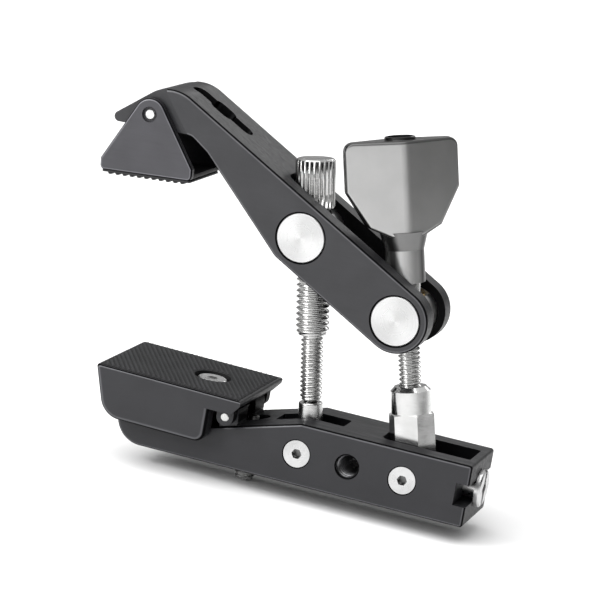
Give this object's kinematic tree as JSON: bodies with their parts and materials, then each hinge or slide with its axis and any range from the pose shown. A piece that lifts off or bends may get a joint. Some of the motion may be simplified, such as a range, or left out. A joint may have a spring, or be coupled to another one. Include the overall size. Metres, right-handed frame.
{
  "type": "super clamp",
  "caption": "Hand-tightened super clamp with a lower and an upper arm, swivelling jaws, two adjusting screws and a wing nut, for holding tubes and boards.",
  "frame": {"origin": "centre of the threaded hole through the lower arm, midway between its sides", "axes": "+X along the lower arm to its grooved rear end, +Y along the threaded hole, +Z square to the arm's flat base, towards the upper arm"},
  "size_m": [0.1186, 0.0354, 0.1043],
  "materials": {
    "dark_enamel": "fine textured semi-gloss",
    "grey_enamel": "fine textured semi-gloss",
    "silver_enamel": "satin silver",
    "steel": "machined",
    "bright_steel": "faced and plated",
    "brass": "machined",
    "rubber": "matt"
  },
  "bodies": {
    "lower_arm": {"lower_arm": "dark_enamel", "mid_pivot_pin": "steel", "rear_pivot_pin": "steel", "pivot_screws": "steel", "pad_hinge_pin": "steel"},
    "lower_pad": {"lower_pad": "dark_enamel", "lower_pad_rubber": "rubber", "lower_pad_screw": "steel"},
    "rear_link": {"hex_coupling": "steel", "rear_rod": "steel"},
    "rear_barrel": {"rear_barrel": "bright_steel", "rear_barrel_bush": "brass"},
    "wing_nut": {"wing_knob": "silver_enamel", "wing_insert": "steel", "wing_clip": "bright_steel"},
    "upper_arm": {"upper_arm": "grey_enamel", "upper_pad_pin": "bright_steel"},
    "upper_pad": {"upper_pad": "grey_enamel", "upper_pad_rubber": "rubber"},
    "mid_barrel": {"mid_barrel": "bright_steel"},
    "mid_swivel": {"mid_swivel": "steel"},
    "mid_screw": {"mid_screw": "steel", "mid_knob": "steel"},
    "pad_set_screw": {"pad_set_screw": "steel"},
    "end_screw": {"end_screw": "steel"}
  },
  "joints": [
    {"name": "wing_turn", "type": "hinge", "parent": "rear_barrel", "child": "wing_nut", "pos_m": [0.00615, 0, 0.0421], "axis": [-0.219, 0, 0.9757], "range_deg": [-1656.33, 0]},
    {"name": "rear_lean", "type": "hinge", "parent": "lower_arm", "child": "rear_link", "pos_m": [0.0156, 0, 0], "axis": [0, -1, 0], "range_deg": [0, 2.72]},
    {"name": "rear_slide", "type": "slide", "parent": "rear_link", "child": "rear_barrel", "axis": [-0.219, 0, 0.9757], "range_m": [-0.00584, 0]},
    {"name": "arm_swing", "type": "hinge", "parent": "rear_barrel", "child": "upper_arm", "pos_m": [0.00615, 0, 0.0421], "axis": [0, -1, 0], "range_deg": [0, 21.67]},
    {"name": "mid_barrel_turn", "type": "hinge", "parent": "upper_arm", "child": "mid_barrel", "pos_m": [-0.02335, 0, 0.0584], "axis": [0, -1, 0], "range_deg": [-14.02, 0]},
    {"name": "mid_slide", "type": "slide", "parent": "mid_barrel", "child": "mid_swivel", "axis": [-0.149, 0, 0.9888], "range_m": [0, 0.01806]},
    {"name": "mid_turn", "type": "hinge", "parent": "mid_swivel", "child": "mid_screw", "pos_m": [-0.01455, 0, 0], "axis": [-0.149, 0, 0.9888], "range_deg": [0, 4095.81]},
    {"name": "lower_jaw_tilt", "type": "hinge", "parent": "lower_arm", "child": "lower_pad", "pos_m": [-0.03515, 0, 0.0062], "axis": [0, 1, 0], "range_deg": [-10, 12]},
    {"name": "upper_jaw_tilt", "type": "hinge", "parent": "upper_arm", "child": "upper_pad", "pos_m": [-0.0709, 0, 0.0823], "axis": [0, 1, 0], "range_deg": [-12, 25]},
    {"name": "set_screw_travel", "type": "slide", "parent": "lower_arm", "child": "pad_set_screw", "axis": [0, 0, 1], "range_m": [-0.003, 0]},
    {"name": "end_screw_turn", "type": "hinge", "parent": "lower_arm", "child": "end_screw", "pos_m": [0.035, 0, 0], "axis": [1, 0, 0], "continuous": true}
  ],
  "couplings": [
    {"joint": "wing_turn", "follows": "rear_slide", "rad_per_m": 4947.4},
    {"joint": "rear_lean", "follows": "rear_slide", "rad_per_m": -8.1254},
    {"joint": "arm_swing", "follows": "rear_slide", "rad_per_m": -64.719},
    {"joint": "mid_barrel_turn", "follows": "rear_slide", "rad_per_m": 41.884},
    {"joint": "mid_slide", "follows": "rear_slide", "ratio": -3.091},
    {"joint": "mid_turn", "follows": "rear_slide", "rad_per_m": -12234}
  ]
}
